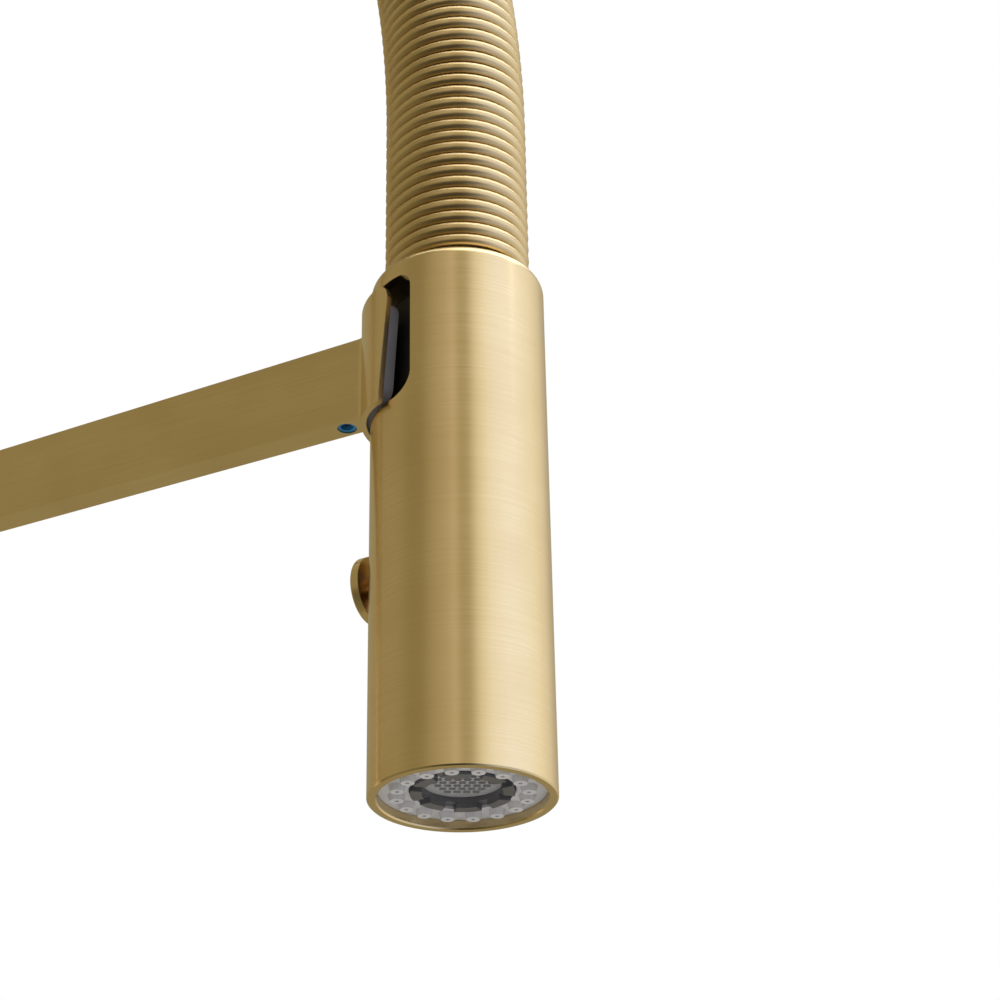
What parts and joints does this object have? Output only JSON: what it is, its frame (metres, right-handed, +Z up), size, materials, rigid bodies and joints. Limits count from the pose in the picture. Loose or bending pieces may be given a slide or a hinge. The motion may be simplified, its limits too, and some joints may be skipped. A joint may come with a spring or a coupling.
{
  "type": "pull-down kitchen faucet",
  "caption": "Tall spring-arch kitchen faucet: swivel column with side lever, flat docking arm and a cylindrical pull-down spray wand with spray button.",
  "frame": {"origin": "centre of the base on the deck it stands on", "axes": "+Z up; the wand hangs at -Y, in front of the user's side; the mixer lever is at +X"},
  "size_m": [0.117, 0.277, 0.5957],
  "materials": {
    "brushed_gold": "satin brushed champagne gold",
    "gold_wire": "satin drawn wire, champagne gold",
    "black_rubber": "matt",
    "steel": "bright",
    "brass": "turned",
    "valve_plastic": "moulded",
    "ceramic": "lapped ceramic",
    "hose_rubber": "matt",
    "grey_plastic": "moulded",
    "blue_nylon": "moulded",
    "plug_plastic": "moulded",
    "nozzle_silicone": "soft silicone",
    "aerator_plastic": "moulded"
  },
  "bodies": {
    "base": {"base_flange": "brushed_gold", "deck_gasket": "black_rubber", "lower_body": "brushed_gold", "mounting_shank": "brass", "pad_washer": "black_rubber", "mounting_washer": "steel", "mounting_nut": "brass", "mounting_screws": "steel", "valve_shell": "valve_plastic", "valve_fixed_disc": "ceramic", "valve_seals": "black_rubber", "cartridge_nut": "brass", "dome_cover": "brushed_gold", "swivel_bushes": "valve_plastic", "swivel_retaining_screw": "steel"},
    "spout": {"column_tube": "brushed_gold", "swivel_journal": "brass", "swivel_o_rings": "black_rubber", "thrust_washer": "valve_plastic", "riser_pipe": "brass", "hose_union": "brass", "column_top_collar": "brushed_gold", "arm_collar": "brushed_gold", "arm_fixing_screw": "steel", "collar_clamp_screw": "steel", "docking_arm": "brushed_gold", "dock_pad": "grey_plastic", "dock_magnet": "steel", "pad_screw": "steel", "screw_ring": "blue_nylon", "spring_coil": "gold_wire", "inner_hose": "hose_rubber", "hose_ferrule_upper": "steel"},
    "valve_turn": {"valve_rotor": "valve_plastic", "stem_pin": "steel"},
    "valve_slide": {"valve_moving_disc": "ceramic", "disc_carrier": "valve_plastic"},
    "handle": {"valve_stem": "steel", "handle_cap": "brushed_gold", "handle_lever": "brushed_gold", "handle_set_screw": "steel", "handle_plug": "plug_plastic"},
    "wand": {"wand_shell": "brushed_gold", "wand_core": "valve_plastic", "keeper_plate": "steel", "check_valve": "valve_plastic", "filter_washer": "black_rubber", "nipple_nut": "brass", "spray_housing": "grey_plastic", "nozzle_ring": "nozzle_silicone", "aerator_housing": "aerator_plastic", "aerator_mesh": "aerator_plastic", "aerator_o_ring": "black_rubber", "button_bush": "brass", "button_spring": "steel"},
    "button": {"spray_button": "brushed_gold", "diverter_spool": "valve_plastic"},
    "hose_end": {"hose_nipple": "brass", "hose_ferrule_lower": "steel"}
  },
  "joints": [
    {"name": "spout_swivel", "type": "hinge", "parent": "base", "child": "spout", "pos_m": [0, 0, 0.13], "axis": [0, 0, 1], "continuous": true},
    {"name": "handle_temperature", "type": "hinge", "parent": "base", "child": "valve_turn", "pos_m": [0.06, 0, 0.074], "axis": [1, 0, 0], "range_deg": [-50, 50]},
    {"name": "handle_flow", "type": "hinge", "parent": "valve_turn", "child": "handle", "pos_m": [0.06, 0, 0.074], "axis": [0, 1, 0], "range_deg": [0, 24]},
    {"name": "disc_slide", "type": "slide", "parent": "valve_turn", "child": "valve_slide", "axis": [0, 0, 1], "range_m": [0, 0.006]},
    {"name": "wand_pull_down", "type": "slide", "parent": "spout", "child": "wand", "axis": [0, -0.7071, -0.7071], "range_m": [0, 0.18], "deforming": ["spring_coil", "inner_hose"]},
    {"name": "hose_swivel", "type": "hinge", "parent": "wand", "child": "hose_end", "pos_m": [0, -0.23, 0.316], "axis": [0, 0, 1], "continuous": true},
    {"name": "spray_button_press", "type": "slide", "parent": "wand", "child": "button", "axis": [0, -1, 0], "range_m": [0, 0.0011], "stiffness_N_per_m": 900, "springref_m": -0.002, "deforming": ["button_spring"]}
  ],
  "couplings": [
    {"joint": "disc_slide", "follows": "handle_flow", "m_per_rad": 0.014}
  ]
}
